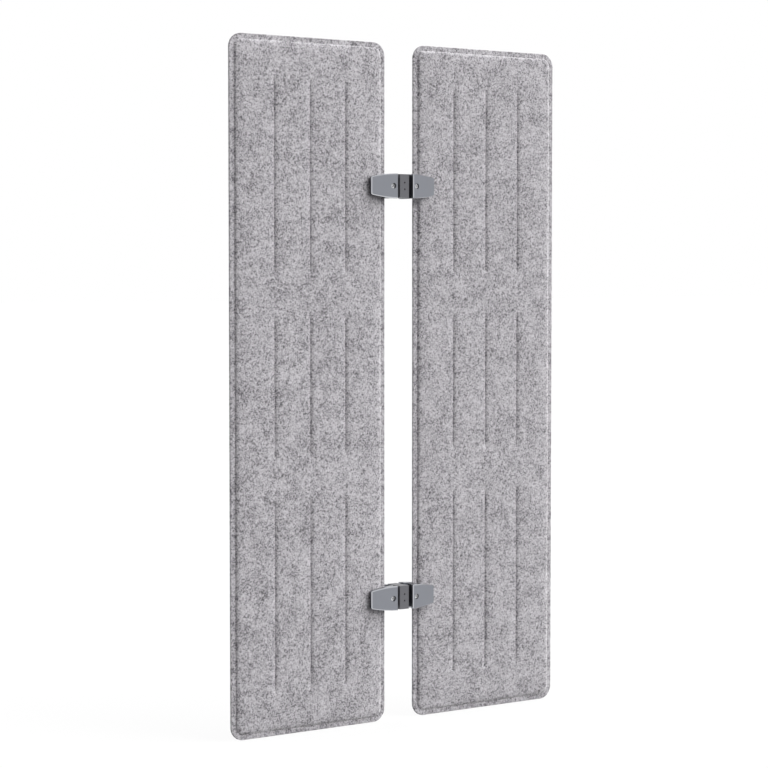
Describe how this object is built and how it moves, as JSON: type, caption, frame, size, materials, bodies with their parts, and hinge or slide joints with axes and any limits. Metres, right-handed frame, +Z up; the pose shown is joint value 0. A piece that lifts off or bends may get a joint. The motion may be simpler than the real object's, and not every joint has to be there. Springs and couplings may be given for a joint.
{
  "type": "hinged felt screen",
  "caption": "Hinged screen of tall moulded-felt leaves with pressed grooves, joined edge to edge by clamp-on metal link hinges that let the leaves fold either way.",
  "frame": {"origin": "on the floor, halfway between the leaves, in the plane where the shells are welded", "axes": "+X along the width towards the right leaf, front face towards -Y, +Z up"},
  "size_m": [0.878, 0.0572, 1.5],
  "materials": {
    "felt": "moulded melange felt, light grey with dark fibres",
    "wadding": "loose fibre wadding",
    "satin_metal": "satin silver-grey coating",
    "dark_metal": "darker satin coating",
    "bright_steel": "bright zinc-plated",
    "pad_rubber": "matt black"
  },
  "bodies": {
    "left_leaf": {"left_front_shell": "felt", "left_rear_shell": "felt", "left_core": "wadding", "lower_left_front_jaw": "satin_metal", "lower_left_rear_jaw": "satin_metal", "lower_left_knuckle": "satin_metal", "lower_left_front_pad": "pad_rubber", "lower_left_rear_pad": "pad_rubber", "lower_left_clamp_screw": "bright_steel", "lower_left_sleeve_nut": "bright_steel", "upper_left_front_jaw": "satin_metal", "upper_left_rear_jaw": "satin_metal", "upper_left_knuckle": "satin_metal", "upper_left_front_pad": "pad_rubber", "upper_left_rear_pad": "pad_rubber", "upper_left_clamp_screw": "bright_steel", "upper_left_sleeve_nut": "bright_steel"},
    "right_leaf": {"right_front_shell": "felt", "right_rear_shell": "felt", "right_core": "wadding", "lower_right_front_jaw": "satin_metal", "lower_right_rear_jaw": "satin_metal", "lower_right_knuckle": "satin_metal", "lower_right_front_pad": "pad_rubber", "lower_right_rear_pad": "pad_rubber", "lower_right_clamp_screw": "bright_steel", "lower_right_sleeve_nut": "bright_steel", "upper_right_front_jaw": "satin_metal", "upper_right_rear_jaw": "satin_metal", "upper_right_knuckle": "satin_metal", "upper_right_front_pad": "pad_rubber", "upper_right_rear_pad": "pad_rubber", "upper_right_clamp_screw": "bright_steel", "upper_right_sleeve_nut": "bright_steel"},
    "upper_link": {"upper_link_front": "dark_metal", "upper_link_rear": "dark_metal", "upper_left_pin": "bright_steel", "upper_right_pin": "bright_steel", "upper_link_screws": "bright_steel"},
    "lower_link": {"lower_link_front": "dark_metal", "lower_link_rear": "dark_metal", "lower_left_pin": "bright_steel", "lower_right_pin": "bright_steel", "lower_link_screws": "bright_steel"}
  },
  "joints": [
    {"name": "upper_left_pivot", "type": "hinge", "parent": "left_leaf", "child": "upper_link", "pos_m": [-0.0065, 0, 1.187], "axis": [0, 0, 1], "range_deg": [-35, 35]},
    {"name": "upper_right_pivot", "type": "hinge", "parent": "upper_link", "child": "right_leaf", "pos_m": [0.0065, 0, 1.187], "axis": [0, 0, 1], "range_deg": [-35, 35]},
    {"name": "lower_left_pivot", "type": "hinge", "parent": "left_leaf", "child": "lower_link", "pos_m": [-0.0065, 0, 0.275], "axis": [0, 0, 1], "range_deg": [-35, 35]}
  ],
  "couplings": [
    {"joint": "lower_left_pivot", "follows": "upper_left_pivot", "ratio": 1}
  ]
}
